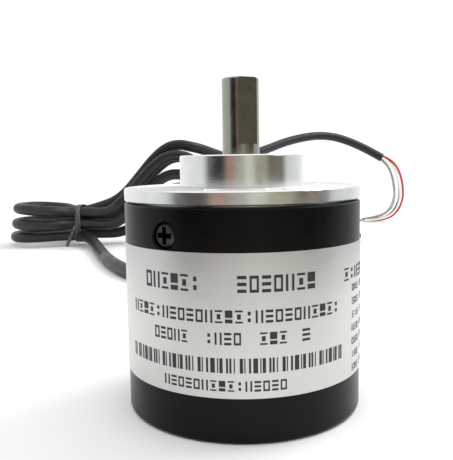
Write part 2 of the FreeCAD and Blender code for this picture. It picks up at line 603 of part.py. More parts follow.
# How far each wire's end lies in front of or behind the middle one, on the table.
CORE_SPREAD = {"white": -4.6, "red": -2.3, "shield": 0, "black": 2.4, "green": 4.9}
# The wires start in a ring inside the jacket, turned so that red is at the right, and stand apart halfway.
CORE_RING = 1.35
CORE_TURN = 0.69 * math.pi
CORE_LOOSENESS = 6
# The bundle's outer shape: x, middle y, half width, underside and top of each section.
HANK_SECTIONS = (
    (-115.8, 205.5, 6, 1.4, 7.2), (-112, 205, 13, 0.8, 20.5), (-106, 204, 17.6, 0.6, 21.3), (-98, 203.3, 19.6, 0.6, 21),
    (-91, 203, 19, 1, 20.6), (-86, 202.2, 16.2, 1.6, 20), (-83, 199.5, 10.2, 1.6, 20.5),
    (-74.5, 197.5, 10, 1.6, 21), (-66, 199.5, 8.5, 3, 23.5), (-60, 200, 8.5, 4.5, 27.3), (-54, 200, 8.5, 6, 33.8),
    (-48, 200, 8.5, 10.5, 40.6), (-42, 200, 8.5, 17, 46.3), (-36, 200, 8.5, 22.5, 50), (-30, 200, 8.5, 24.5, 50.8),
    (-24, 200, 8.5, 22, 50.2), (-18, 200.5, 9, 15.6, 48.6), (-12, 200, 8.6, 9, 35), (-6, 200, 8.6, 3.6, 27),
    (0, 200, 8.6, 1.2, 20), (8, 200, 8.8, 0.3, 13), (16, 200.5, 10.5, 0, 11.3), (24, 202, 17, 0, 11),
    (34, 203, 20.6, 0, 11), (44, 203, 20.3, 0, 11), (52, 203, 16.3, 0, 11), (58.3, 203, 7, 0, 5.5),
)
TIE_BAND = (-80.5, -77.5)


def section_outline(x, middle, half_width, low, high):
    """An eight-sided section of the bundle, with its corners taken off."""
    corner = min(half_width, (high - low) / 2) * 0.45
    left = middle - half_width
    right = middle + half_width
    places = [(left + corner, low), (right - corner, low), (right, low + corner), (right, high - corner),
              (right - corner, high), (left + corner, high), (left, high - corner), (left, low + corner)]
    return Part.makePolygon([Vector(x, y, z) for y, z in places + places[:1]])


def make_hank():
    """The bundle of tied turns as one closed solid, and the twisted wire tie round its waist."""
    sections = [section_outline(*section) for section in HANK_SECTIONS]
    keep(shaped("hank_shape", Part.makeLoft(sections, True, True)), "cable_hank")
    tie_low, tie_high = TIE_BAND
    span = Vector(tie_high - tie_low, 0, 0)
    outer = Part.Face(section_outline(tie_low, 198.6, 11.4, 0.1, 22.6)).extrude(span)
    inner = Part.Face(section_outline(tie_low, 198.6, 10.6, 0.9, 21.8)).extrude(span)
    knot = Part.makeBox(4, 3, 4, Vector(tie_low - 0.5, 184.6, 8))
    tail = tube(points_of((-79, 186, 9), (-80, 182.5, 5.5), (-81, 180, 1.4)), 1.6)
    keep(shaped("tie_shape", outer.cut(inner).fuse([knot, tail])), "cable_twist_tie")


def make_grommet():
    """A rubber bush in the cover's cable hole, with a lip each side of the wall and a short tapered snout."""
    level = "dim.cable_level"
    outer_r = "(dim.flange_d / 2)"
    neck = spoke("grommet_neck", "dim.grommet_neck_d / 2", 90, level, f"{COVER_BORE_R} - 1.4", f"{outer_r} + 0.5")
    lip_outside = spoke("grommet_lip_outside", "dim.grommet_d / 2", 90, level, f"{outer_r} - 1.2",
                        f"{outer_r} + dim.grommet_lip")
    lip_inside = spoke("grommet_lip_inside", "dim.grommet_d / 2", 90, level, f"{COVER_BORE_R} - 1.6",
                       f"{COVER_BORE_R} + 0.5")
    inside = joined("MultiCommon", "grommet_lip_rounded",
                    [lip_inside, pin("grommet_inner_limit", f"{COVER_BORE_R} - 0.02", ("0", "0"), "0", "20")])
    outside = cut("grommet_lip_hollowed", lip_outside,
                  [pin("grommet_outer_limit", f"{outer_r} + 0.02", ("0", "0"), "0", "20")])
    snout = spoke("grommet_snout", ("3.8", "3.1"), 90, level, f"{outer_r} + 0.4", "dim.snout_reach", kind="Cone")
    bore = spoke("grommet_bore", "dim.cable_d / 2 + 0.02", 90, level, "10", "dim.snout_reach + 1")
    body = joined("MultiFuse", "grommet_body", [neck, inside, outside, snout])
    keep(cut("grommet_bored", body, [bore]), "cable_grommet")


def make_strap():
    """A nylon strap pulled tight round the jacket inside the cover, so that a pull can't reach the solder."""
    cable_r = "dim.cable_d / 2"
    loop_place = ("0", "11", "dim.cable_level")
    lie = Rotation(Vector(1, 0, 0), -90)
    band = solid("Cylinder", "strap_band", loop_place, lie, Radius=f"{cable_r} + 0.9", Height="2.4")
    bore = solid("Cylinder", "strap_bore", ("0", "10", "dim.cable_level"), lie, Radius=f"{cable_r} + 0.02", Height="5")
    head = box("strap_head", (f"{cable_r} + 0.6", "10.6", "dim.cable_level - 1.8"),
               (f"{cable_r} + 3.2", "13.8", "dim.cable_level + 1.8"))
    keep(cut("strap_cut", joined("MultiFuse", "strap_body", [band, head]), [bore]), "cable_strap")


def fan_out(number, spread):
    """The sideways and upward offset of one wire among the five in the jacket."""
    angle = 2 * math.pi * number / len(WIRE_COLOURS) + 0.6 * math.pi
    return spread * math.cos(angle), spread * math.sin(angle)


def make_inner_wires():
    """The five wires inside the cover, from the end of the jacket to their pads."""
    level = amount("dim.cable_level")
    start_y = amount("dim.jacket_start")
    for number, colour in enumerate(WIRE_COLOURS):
        pad_x, pad_y = pad_places()[colour]
        side, rise = fan_out(number, 1.3)
        points = [Vector(side, start_y, level + rise), Vector(side, start_y - 5, level + rise),
                  Vector(pad_x * 0.8, -8.6, level + rise * 0.5), Vector(pad_x, pad_y, 10.2),
                  Vector(pad_x, pad_y, amount(BOARD_TOP))]
        keep(shaped("inner_route_" + colour, tube(points, amount("dim.wire_d"))), "inner_wire_" + colour)


def core_points(number, colour):
    """The route of one wire past the jacket's end: out of the ring, apart in the air, then along the table."""
    last = len(CORE_ROUTE) - 1
    angle = CORE_TURN - 2 * math.pi * number / len(WIRE_COLOURS)
    points = []
    for step, place in enumerate(CORE_ROUTE):
        heading = CORE_ROUTE[min(step + 1, last)] - CORE_ROUTE[max(step - 1, 0)]
        across = heading.cross(Vector(0, 1, 0)).normalize()
        share = step / last
        ring = CORE_RING * (1 - share) * (1 + CORE_LOOSENESS * share)
        depth = ring * math.sin(angle) + CORE_SPREAD[colour] * share
        points.append(place + across * (ring * math.cos(angle)) + Vector(0, depth, 0))
    return points


def make_cores():
    """The five wires that show past the free end of the jacket."""
    for number, colour in enumerate(WIRE_COLOURS):
        diameter = amount("dim.shield_d" if colour == "shield" else "dim.core_d")
        keep(shaped("core_route_" + colour, tube(core_points(number, colour), diameter)), "core_" + colour)


def make_cable():
    diameter = amount("dim.cable_d")
    keep(shaped("lead_route", tube(LEAD_ROUTE, diameter)), "cable_lead")
    make_hank()
    keep(shaped("free_end_route", tube(FREE_END_ROUTE, diameter)), "cable_free_end")


# ---------------------------------------------------------------- all pieces

def check_and_export():
    doc.recompute()
    for thing in doc.Objects:
        if "Invalid" in thing.State or "Error" in thing.State:
            raise ValueError(f"{thing.Label} failed: {thing.State}")
    os.makedirs("parts", exist_ok=True)
    for piece in pieces:
        shape = piece.Shape
        if shape.isNull() or not shape.isValid() or not shape.Solids:
            raise ValueError(f"{piece.Label} has no valid solid")
        shape.exportStep(f"parts/{piece.Label}.step")
        print(f"{piece.Label}: {len(shape.Solids)} solids, {shape.Volume:.1f} mm3")


make_housing()
make_cover()
make_cover_screws()
make_label()
make_bearing("front", "dim.front_bearing_base")
make_bearing("rear", "dim.rear_bearing_base")
make_spring_washer()
make_shaft()
make_code_disc()
make_optics()
make_board()
make_components()
make_grommet()
make_strap()
make_inner_wires()
make_cable()
make_cores()
check_and_export()
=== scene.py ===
"""Looks of the rotary encoder: signal cable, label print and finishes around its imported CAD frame."""
import json
import math

import bmesh
import bpy
from mathutils import Matrix, Vector


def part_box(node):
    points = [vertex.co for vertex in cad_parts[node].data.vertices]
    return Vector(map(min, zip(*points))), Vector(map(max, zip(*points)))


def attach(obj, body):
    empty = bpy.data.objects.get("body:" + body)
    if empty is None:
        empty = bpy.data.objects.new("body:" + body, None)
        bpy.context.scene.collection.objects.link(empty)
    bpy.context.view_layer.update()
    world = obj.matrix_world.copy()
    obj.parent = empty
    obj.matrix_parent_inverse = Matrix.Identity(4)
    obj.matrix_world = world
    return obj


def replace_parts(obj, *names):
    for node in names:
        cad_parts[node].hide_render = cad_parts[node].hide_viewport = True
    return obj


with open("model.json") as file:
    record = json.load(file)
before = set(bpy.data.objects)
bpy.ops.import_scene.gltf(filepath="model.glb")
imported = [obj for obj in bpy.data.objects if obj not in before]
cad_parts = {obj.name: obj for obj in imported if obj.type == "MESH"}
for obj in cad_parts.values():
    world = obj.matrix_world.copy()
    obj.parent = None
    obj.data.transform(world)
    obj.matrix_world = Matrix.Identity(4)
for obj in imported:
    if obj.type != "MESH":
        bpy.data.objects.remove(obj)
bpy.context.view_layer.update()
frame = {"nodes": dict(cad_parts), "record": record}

record = frame["record"]
nodes = frame["nodes"]

MM = 0.001   # metres in a millimetre
HOUSING = "housing"
scene = bpy.context.scene


# ---------------------------------------------------------------- camera

def make_camera():
    """The viewpoint in front of the encoder, a little above its flange."""
    place = Vector((0, -0.10117, 0.03938))
    yaw, pitch, roll = -0.0254, 0.1097, -0.0157
    forward = Vector((math.sin(yaw) * math.cos(pitch), math.cos(yaw) * math.cos(pitch), -math.sin(pitch)))
    level_right = Vector((math.cos(yaw), -math.sin(yaw), 0))
    level_up = level_right.cross(forward)
    right = math.cos(roll) * level_right + math.sin(roll) * level_up
    up = math.cos(roll) * level_up - math.sin(roll) * level_right
    data = bpy.data.cameras.new("camera")
    data.lens = 48.26
    data.clip_start = 0.005
    camera = bpy.data.objects.new("camera", data)
    turn = Matrix((right, up, -forward)).transposed().to_4x4()
    camera.matrix_world = Matrix.Translation(place) @ turn
    scene.collection.objects.link(camera)
    scene.camera = camera


# ---------------------------------------------------------------- the cable's route, in millimetres

CABLE_D = 5
LEAD_ROUTE = [(0, 4, 6.5), (0, 40, 6.5), (-8, 68, 2.9), (-24, 90, 2.6), (-40, 107, 2.6), (-50, 128, 2.6),
              (-58, 150, 2.6), (-65, 171, 2.8), (-71.5, 187.5, 4.2)]
FREE_END_ROUTE = [(-19, 203.2, 45.8), (-12.5, 210.5, 43.3), (-7.5, 221.5, 41.6), (-1, 236, 41.4),
                  (12, 257, 45.2), (31, 277, 52.5), (53, 288.5, 55.7), (74, 291, 49), (88, 290, 40.5)]
CORE_ROUTE = [(88, 290, 40.5), (92.3, 289.7, 37.9), (96.2, 290, 32), (98.6, 290.4, 23), (99, 291, 13.5),
              (95, 292, 5.2), (86.5, 293, 1.9), (77.8, 294, 1.3)]

# The wires leave the jacket on a ring, which opens on the way, and CORE_SPREAD is where they end along Y.
WIRE_COLOURS = ("green", "black", "red", "white", "shield")
CORE_SPREAD = {"white": -4.6, "red": -2.3, "shield": 0, "black": 2.4, "green": 4.9}
CORE_D = 1.3
SHIELD_D = 1.5
CORE_RING = 1.35
CORE_TURN = 0.69 * math.pi
CORE_LOOSENESS = 6

# The tied turns: five runs over an arch, joined by three folds on the left and two on the right.
# In the tie a run has a slot, front or back, and a tied level. On the way to the arch it spreads to its side,
# and it comes down to its low level on the table or climbs on to the other runs. It has its own peak there.
TIE_X = -79
TIE_ENTRY = [(-77.5, 194, 5), (-86, 196.3, 5)]
TIE_RIGHT, TIE_LEFT = TIE_X + 2, TIE_X - 5.5
FRONT_SLOT, BACK_SLOT = 196.0, 201.6
FRONT, MIDDLE, BACK = 194.2, 200.0, 205.8
SPREAD_START, SPREAD_END = -77, -56
DESCENT = 95     # how far past the tie a run reaches its low level on the table
LIFT_END = -62   # where the last run has climbed on to the others
ARCH_X = -30
ARCH_BEND = 15
ARCH_SLOPE = math.radians(50)
RUNS = (
    dict(side=BACK, slot=BACK_SLOT, tied=5.4, peak=27.5, low=2.7),
    dict(side=FRONT, slot=FRONT_SLOT, tied=10.9, peak=34.2, low=2.7),
    dict(side=BACK, slot=BACK_SLOT, tied=10.9, peak=42.4, low=8.4),
    dict(side=FRONT, slot=FRONT_SLOT, tied=16.5, peak=43.2, low=8.4),
    dict(side=MIDDLE, slot=BACK_SLOT, tied=16.5, peak=48.3, low=20.0),
)
LEFT_FOLDS = (
    dict(x=-98.6, y=205.5, level=4.2, radius=14.6, enter=95, leave=138),
    dict(x=-96.8, y=200.3, level=11.2, radius=13.6, enter=125, leave=125),
    dict(x=-95.8, y=199.3, level=18.6, radius=13.2, enter=125, leave=125),
)
RIGHT_FOLDS = (
    dict(x=38.0, y=203.0, level=2.7, radius=18.0, enter=122, leave=122),
    dict(x=35.5, y=202.0, level=8.4, radius=17.0, enter=122, leave=122),
)
RUN_STATIONS = (-69, -62.5, -56, -49, -42.5, -36, -30, -24, -17.5, -11, -4, 3.5, 11)
LAST_STATION = -24   # where the last run leaves the bundle for the free end
TURN_IN_X = 19.5     # where two runs come together for a fold on the right
FOLD_STEP = 25       # degrees between a fold's points, roughly


def arch(away, rise):
    """Height of the arch at a distance from its middle: round top, straight slope, round foot."""
    turned = ARCH_BEND * math.sin(ARCH_SLOPE)
    drop = ARCH_BEND * (1 - math.cos(ARCH_SLOPE))
    reach = 2 * turned + (rise - 2 * drop) / math.tan(ARCH_SLOPE)
    if away >= reach:
        return 0
    if away > reach - turned:
        return ARCH_BEND - math.sqrt(ARCH_BEND ** 2 - (reach - away) ** 2)
    if away < turned:
        return rise - ARCH_BEND + math.sqrt(ARCH_BEND ** 2 - away ** 2)
    return rise - drop - (away - turned) * math.tan(ARCH_SLOPE)


def eased(x, start, end):
    """0 before start, 1 after end, smooth between them."""
    share = min(max((x - start) / (end - start), 0), 1)
    return share * share * (3 - 2 * share)


def run_point(run, x):
    """A point of one run over the arch, at a distance along X."""
    side = run["slot"] + (run["side"] - run["slot"]) * eased(x, SPREAD_START, SPREAD_END)

    def base(place):
        if run["low"] > run["tied"]:
            return run["tied"] + (run["low"] - run["tied"]) * eased(place, TIE_X, LIFT_END)
        return run["tied"] + (run["low"] - run["tied"]) * min(max((place - TIE_X) / DESCENT, 0), 1)

    return x, side, base(x) + arch(abs(x - ARCH_X), run["peak"] - base(ARCH_X))


def fold_points(fold, toward):
    """Points clockwise round the end of a turn; toward is where the fold points, in degrees from +X."""
    count = round((fold["enter"] + fold["leave"]) / FOLD_STEP)
    step = (fold["enter"] + fold["leave"]) / count
    radius = fold["radius"] / math.cos(math.radians(step / 2))
    points = []
    for number in range(count + 1):
        angle = math.radians(toward + fold["enter"] - number * step)
        x = fold["x"] + radius * math.cos(angle)
        y = fold["y"] + radius * math.sin(angle)
        points.append((x, y, fold["level"]))
    return points


def hank_points():
    """The route from the lead, through the tie and all the turns, to just past the top of the last run."""
    points = list(TIE_ENTRY)
    for number, left in enumerate(LEFT_FOLDS):
        out = RUNS[2 * number]
        if number:
            points.append((TIE_RIGHT, FRONT_SLOT - 0.3, out["tied"]))
            points.append((TIE_LEFT, FRONT_SLOT - 3.2, out["tied"]))
        turn = fold_points(left, 180)
        middle = (len(turn) - 1) / 2
        for place, (x, y, z) in enumerate(turn):
            lift = max(0, abs(place - middle) / middle - 0.4)
            points.append((x, y, z + (out["tied"] - z) * lift))
        points.append((TIE_LEFT, out["slot"] + 4.4, out["tied"]))
        points.append((TIE_RIGHT, out["slot"] + 0.3, out["tied"]))
        if number == len(RIGHT_FOLDS):
            points += [run_point(out, x) for x in RUN_STATIONS if x <= LAST_STATION]
            break
        back = RUNS[2 * number + 1]
        points += [run_point(out, x) for x in RUN_STATIONS]
        points.append((TURN_IN_X, out["side"] + 2.2, out["low"]))
        points += fold_points(RIGHT_FOLDS[number], 0)
        points.append((TURN_IN_X, back["side"] - 1.2, back["low"]))
        points += [run_point(back, x) for x in reversed(RUN_STATIONS)]
    return points


# ---------------------------------------------------------------- cords from routes

def in_metres(points):
    return [Vector(point) * MM for point in points]


def nurbs_cord(name, points, diameter, rings=4):
    """A round cord whose centreline is one open NURBS spline with these control points."""
    curve = bpy.data.curves.new(name, "CURVE")
    curve.dimensions = "3D"
    spline = curve.splines.new("NURBS")
    spline.points.add(len(points) - 1)
    for place, point in zip(spline.points, points):
        place.co = (*point, 1)
    spline.order_u = 3
    spline.use_endpoint_u = True
    spline.resolution_u = 8
    curve.bevel_depth = diameter / 2
    curve.bevel_resolution = rings
    curve.use_fill_caps = True
    cord = bpy.data.objects.new(name, curve)
    scene.collection.objects.link(cord)
    return cord


def centreline(points):
    """The points that a NURBS spline with these control points goes through."""
    cord = nurbs_cord("centreline", points, 0)
    cord.data.splines[0].resolution_u = 20
    cord.data.use_fill_caps = False
    mesh = bpy.data.meshes.new_from_object(cord)
    places = [vertex.co.copy() for vertex in mesh.vertices]
    curve = cord.data
    bpy.data.objects.remove(cord)
    bpy.data.curves.remove(curve)
    bpy.data.meshes.remove(mesh)
    return places


# ---------------------------------------------------------------- mesh making

def mesh_object(name, mesh, slot, finishes, material=None, smooth=True):
    """Link a bmesh as an object on the housing, finished as a record slot or in a material of its own."""
    bmesh.ops.recalc_face_normals(mesh, faces=mesh.faces)
    data = bpy.data.meshes.new(name)
    mesh.to_mesh(data)
    mesh.free()
    for polygon in data.polygons:
        polygon.use_smooth = smooth
    data.materials.append(finishes[material or slot])
    thing = bpy.data.objects.new(name, data)
    scene.collection.objects.link(thing)
    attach(thing, HOUSING)
    return thing


def lathe(mesh, profile, lie, steps=96):
    """Turn a closed profile of (radius, distance) about the Z axis of a matrix, into a bmesh."""
    rings = []
    for number in range(steps):
        angle = 2 * math.pi * number / steps
        ring = []
        for radius, distance in profile:
            place = Vector((radius * math.cos(angle), radius * math.sin(angle), distance))
            ring.append(mesh.verts.new(lie @ place))
        rings.append(ring)
    count = len(profile)
    for number, ring in enumerate(rings):
        after = rings[(number + 1) % steps]
        for index in range(count):
            following = (index + 1) % count
            mesh.faces.new((ring[index], ring[following], after[following], after[index]))


def sweep(mesh, path, section, side=None, turns_per_metre=0.0):
    """A closed section carried along a path, turned steadily as it goes, with flat ends."""
    rings = []
    side = side or (path[1] - path[0]).orthogonal()
    turned = 0.0
    for number, place in enumerate(path):
        before = path[max(number - 1, 0)]
        after = path[min(number + 1, len(path) - 1)]
        ahead = (after - before).normalized()
        side = (side - ahead * side.dot(ahead)).normalized()
        up = ahead.cross(side)
        turned += (place - before).length * turns_per_metre * 2 * math.pi
        turn = Matrix.Rotation(turned, 2)
        ring = []
        for corner in section:
            across, rise = turn @ Vector(corner)
            ring.append(mesh.verts.new(place + side * across + up * rise))
        rings.append(ring)
    count = len(section)
    for ring, following in zip(rings, rings[1:]):
        for index in range(count):
            near = (index + 1) % count
            mesh.faces.new((ring[index], ring[near], following[near], following[index]))
    mesh.faces.new(list(reversed(rings[0])))
    mesh.faces.new(rings[-1])


def circle_section(radius, count, centre):
    """Corners of a round section about a centre."""
    x, y = centre
    angles = [2 * math.pi * number / count for number in range(count)]
    return [(x + radius * math.cos(angle), y + radius * math.sin(angle)) for angle in angles]


def strands(name, path, diameter, strand_d, count, finishes, slot):
    """Fine strands twisted round each other along a path, about five diameters to a turn."""
    mesh = bmesh.new()
    ring = (diameter - strand_d) / 2
    for number in range(count):
        start = 2 * math.pi * number / count
        section = circle_section(strand_d / 2, 7, (ring * math.cos(start), ring * math.sin(start)))
        sweep(mesh, path, section, turns_per_metre=1 / (5 * diameter))
    return mesh_object(name, mesh, slot, finishes)


# ---------------------------------------------------------------- pieces on the cable

def make_strain_relief(finishes):
    """The rubber bush in the cover: a round lip, then a short ribbed taper that ends on the cable."""
    low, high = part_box("cable_grommet")
    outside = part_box("rear_cover")[1].y
    bore = (CABLE_D / 2 + 0.02) * MM
    neck = 3.45 * MM
    inner_end = low.y + 1.5 * MM
    lip = (high.z - low.z) / 2
    lip_start, lip_end = outside - 1.4 * MM, outside + 1.6 * MM
    profile = [(bore, inner_end), (neck, inner_end), (neck, lip_start), (lip, lip_start)]
    rounding = 0.5 * MM
    for number in range(7):
        angle = math.radians(90 * number / 6)
        profile.append((lip - rounding * (1 - math.cos(angle)), lip_end - rounding * (1 - math.sin(angle))))
    root, taper, groove_depth, end_chamfer = 3.75 * MM, 0.7 * MM, 0.2 * MM, 0.3 * MM
    ribs = 3
    steps = 8 * ribs
    for number in range(steps + 1):
        share = number / steps
        groove = groove_depth * (1 - math.cos(2 * math.pi * share * ribs))
        distance = lip_end + (high.y - end_chamfer - lip_end) * (share + 0.01)
        profile.append((root - taper * share - groove, distance))
    profile += [(2.8 * MM, high.y), (bore, high.y)]
    lie = Matrix.Translation((0, 0, LEAD_ROUTE[0][2] * MM)) @ Matrix.Rotation(math.radians(-90), 4, "X")
    mesh = bmesh.new()
    lathe(mesh, profile, lie)
    relief = mesh_object("strain_relief", mesh, "grommet_rubber", finishes)
    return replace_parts(relief, "cable_grommet")


# The tie's flat section has a thicker wire core. Its two ends hang down the front as one twisted tail.
TIE_SECTION = ((-0.3, -1.4), (0.05, -1.15), (0.1, -0.55), (0.38, -0.3),
               (0.38, 0.3), (0.1, 0.55), (0.05, 1.15), (-0.3, 1.4))
TIE_TAIL = [(-79.2, 188.4, 10.2), (-79, 186.4, 9.6), (-79.4, 184.8, 8), (-80, 183.2, 5.8),
            (-80.8, 181.2, 3.2), (-81.2, 180.4, 1.6)]
TAIL_TURNS_PER_MM = 0.3


def tie_loop():
    """The band's line round the bundle: a rounded box about its four outer strands."""
    reach = CABLE_D / 2 + 0.42
    front, back = FRONT_SLOT - 0.9, BACK_SLOT + 0.8
    low, high = 5.1, 16.5
    corners = ((front, low, 180), (back, low, 270), (back, high, 0), (front, high, 90))
    loop = []
    for y, z, start in corners:
        for number in range(9):
            angle = math.radians(start + 90 * number / 8)
            loop.append(Vector((TIE_X, y + reach * math.cos(angle), z + reach * math.sin(angle))) * MM)
    return loop + loop[:1]


def make_twist_tie(finishes):
    """A plastic-covered wire tie: a flat band round the bundle, with both ends twisted together in front."""
    section = [(thick * MM, wide * MM) for thick, wide in TIE_SECTION]
    narrow = [(thick * 0.6, wide * 0.45) for thick, wide in section]
    mesh = bmesh.new()
    sweep(mesh, tie_loop(), section, side=Vector((0, 1, 0)))
    tail = centreline(in_metres(TIE_TAIL))
    for end in (-1, 1):
        offset = [(thick + end * 0.4 * MM, wide) for thick, wide in narrow]
        sweep(mesh, tail, offset, turns_per_metre=TAIL_TURNS_PER_MM / MM)
    tie = mesh_object("twist_tie", mesh, "tie_plastic", finishes)
    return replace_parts(tie, "cable_twist_tie")


# ---------------------------------------------------------------- the cords

STRANDS = 6
SHIELD_STRAND_D = 0.5
TIP_D = 0.75
TIP_STRAND_D = 0.28


def make_signal_cable(finishes):
    """The whole jacketed cable: out of the housing, through the tied turns and on to its free end."""
    route = in_metres(LEAD_ROUTE + hank_points() + FREE_END_ROUTE)
    cable = nurbs_cord("signal_cable", route, CABLE_D * MM, rings=6)
    cable.data.materials.append(finishes["cable_jacket"])
    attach(cable, HOUSING)
    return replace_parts(cable, "cable_lead", "cable_hank", "cable_free_end")


def core_points(number, colour):
    """Control points of one wire, in metres: out of the ring in the jacket, then apart, down to the table."""
    route = [Vector(point) for point in CORE_ROUTE]
    last = len(route) - 1
    angle = CORE_TURN - 2 * math.pi * number / len(WIRE_COLOURS)
    points = []
    for step, place in enumerate(route):
        heading = route[min(step + 1, last)] - route[max(step - 1, 0)]
        across = heading.cross(Vector((0, 1, 0))).normalized()
        share = step / last
        ring = CORE_RING * (1 - share) * (1 + CORE_LOOSENESS * share)
        depth = ring * math.sin(angle) + CORE_SPREAD[colour] * share
        points.append((place + across * (ring * math.cos(angle)) + Vector((0, depth, 0))) * MM)
    return points


def make_core(number, colour, finishes):
    """One insulated wire past the jacket's end, with a stripped tip of tinned strands."""
    points = core_points(number, colour)
    core = nurbs_cord("core_wire_" + colour, points, CORE_D * MM)
    core.data.materials.append(finishes["wire_" + colour])
    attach(core, HOUSING)
    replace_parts(core, "core_" + colour)
    path = centreline(points)
    end = path[-1]
    onward = (end - path[-2]).normalized()
    tip_path = [end + onward * distance * MM for distance in (-1, 0, 1, 2, 3)]
    tip = strands("core_tip_" + colour, tip_path, TIP_D * MM, TIP_STRAND_D * MM, STRANDS, finishes,
                  "solder_tin")


def make_shield(number, finishes):
    """The cable's shield, drawn together into one bare twist of strands."""
    path = centreline(core_points(number, "shield"))
    twist = strands("core_wire_shield", path, SHIELD_D * MM, SHIELD_STRAND_D * MM, STRANDS, finishes,
                    "wire_shield")
    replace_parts(twist, "core_shield")


def make_cords(finishes):
    """The signal cable with the pieces on it, and the five wires at its free end."""
    cable = make_signal_cable(finishes)
    relief = make_strain_relief(finishes)
    tie = make_twist_tie(finishes)
    for number, colour in enumerate(WIRE_COLOURS):
        if colour == "shield":
            make_shield(number, finishes)
        else:
            make_core(number, colour, finishes)


# ---------------------------------------------------------------- the label's print

INK_THICK = 0.02
PATCH_STEP = 2   # degrees


def label_patch(mesh, radius, start, end, low, high):
    """A thin raised patch of ink on the label between two angles and two levels."""
    steps = max(1, math.ceil((end - start) / PATCH_STEP))
    rings = []
    for number in range(steps + 1):
        angle = math.radians(start + (end - start) * number / steps)
        ring = []
        for distance, level in ((-1, low), (1, low), (1, high), (-1, high)):
            reach = radius + distance * INK_THICK
            corner = Vector((reach * math.cos(angle), reach * math.sin(angle), level))
            ring.append(mesh.verts.new(corner * MM))
        rings.append(ring)
    for ring, following in zip(rings, rings[1:]):
        for index in range(4):
            near = (index + 1) % 4
            mesh.faces.new((ring[index], ring[near], following[near], following[index]))
    mesh.faces.new(list(reversed(rings[0])))
    mesh.faces.new(rings[-1])


# Each mark is a few boxes in a unit square: (left, right, bottom, top).
MARKS = {
    "frame": ((0, 1, 0, 0.18), (0, 1, 0.82, 1), (0, 0.24, 0.18, 0.82), (0.76, 1, 0.18, 0.82)),
    "dashes": ((0, 1, 0, 0.2), (0, 1, 0.4, 0.6), (0, 1, 0.8, 1)),
    "bars": ((0, 0.28, 0, 1), (0.72, 1, 0, 1)),
    "split": ((0, 1, 0, 0.3), (0, 1, 0.42, 1)),
    "core": ((0, 1, 0, 0.14), (0, 1, 0.86, 1), (0.25, 0.75, 0.3, 0.7)),
    "dots": ((0.3, 0.7, 0.1, 0.38), (0.3, 0.7, 0.62, 0.9)),
}
MARK_ORDER = ("frame", "dashes", "core", "bars", "frame", "dots", "core", "dashes", "bars", "split")
MARK_STRIDE = 3
MARK_SHARE = 0.75   # how much of the pitch a mark takes, the rest being the gap

# Rows of marks round the label: level and height in mm, and angles in degrees from +X.
LABEL_ROWS = (
    dict(level=22.9, height=2.35, start=-137, end=-108.3, marks=6),
    dict(level=22.9, height=2.35, start=-92.3, end=-58.1, marks=7),
    dict(level=22.7, height=1.9, start=-39, end=-12.7, marks=5),
    dict(level=18.4, height=1.8, start=-148, end=-43.9, marks=25),
    dict(level=15.3, height=1.75, start=-132, end=-114.3, marks=5),
    dict(level=15.3, height=1.75, start=-106, end=-91, marks=4),
    dict(level=15.3, height=1.75, start=-83.2, end=-71.7, marks=3),
    dict(level=15.3, height=1.75, start=-64.5, end=-60.7, marks=1),
    dict(level=8.6, height=1.5, start=-126.6, end=-71.8, marks=15),
)
BAR_PATTERN = dict(level=11.5, height=2.1, start=-150, end=-40.5)
BAR_WIDTHS = (0.9, 0.5, 1.4, 0.5, 0.9, 2.0, 0.5, 1.4, 0.9)

# The table of wires at the label's right. Each row has a few marks, then more of them, in three lengths.
TABLE_TOP, TABLE_BOTTOM, TABLE_ROWS = 20.4, 8, 7
FEW_MARKS = dict(start=-31, end=-22, marks=3)
MORE_MARKS = (
    dict(start=-18, end=38, marks=12),
    dict(start=-18, end=29, marks=10),
    dict(start=-18, end=20, marks=8),
)


def print_row(mesh, radius, level, height, start, end, marks, first):
    """A row of plain geometric marks, which take turns from the first one given."""
    pitch = (end - start) / (marks - 1 + MARK_SHARE)
    width = pitch * MARK_SHARE
    for number in range(marks):
        origin = start + number * pitch
        mark = MARK_ORDER[(first + number * MARK_STRIDE) % len(MARK_ORDER)]
        for left, right, bottom, top in MARKS[mark]:
            label_patch(mesh, radius, origin + left * width, origin + right * width,
                        level + (bottom - 0.5) * height, level + (top - 0.5) * height)


def print_bars(mesh, radius, level, height, start, end):
    """A row of upright bars of mixed widths."""
    angle = start
    number = 0
    while angle < end:
        width = BAR_WIDTHS[number % len(BAR_WIDTHS)]
        label_patch(mesh, radius, angle, min(angle + width, end), level - height / 2, level + height / 2)
        angle += width + BAR_WIDTHS[(number + 4) % len(BAR_WIDTHS)]
        number += 1


def print_table(mesh, radius):
    """The table's rows, evenly spaced."""
    for row in range(TABLE_ROWS):
        level = TABLE_TOP + (TABLE_BOTTOM - TABLE_TOP) * row / (TABLE_ROWS - 1)
        for cell in (FEW_MARKS, MORE_MARKS[row % len(MORE_MARKS)]):
            print_row(mesh, radius, level, height=1.0, first=row, **cell)


def make_label_print(finishes):
    """All the marks on the rating label, as one thin piece."""
    low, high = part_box("rating_label")
    radius = (high.x - low.x) / 2 / MM
    mesh = bmesh.new()
    for number, row in enumerate(LABEL_ROWS):
        print_row(mesh, radius, first=number, **row)
    print_bars(mesh, radius, **BAR_PATTERN)
    print_table(mesh, radius)
    mesh_object("label_print", mesh, "label_foil", finishes, material="label_ink", smooth=False)


# ---------------------------------------------------------------- materials

HEAD_SINK = 0.3   # how far the cover screws' faces lie below the cover's surface, in millimetres


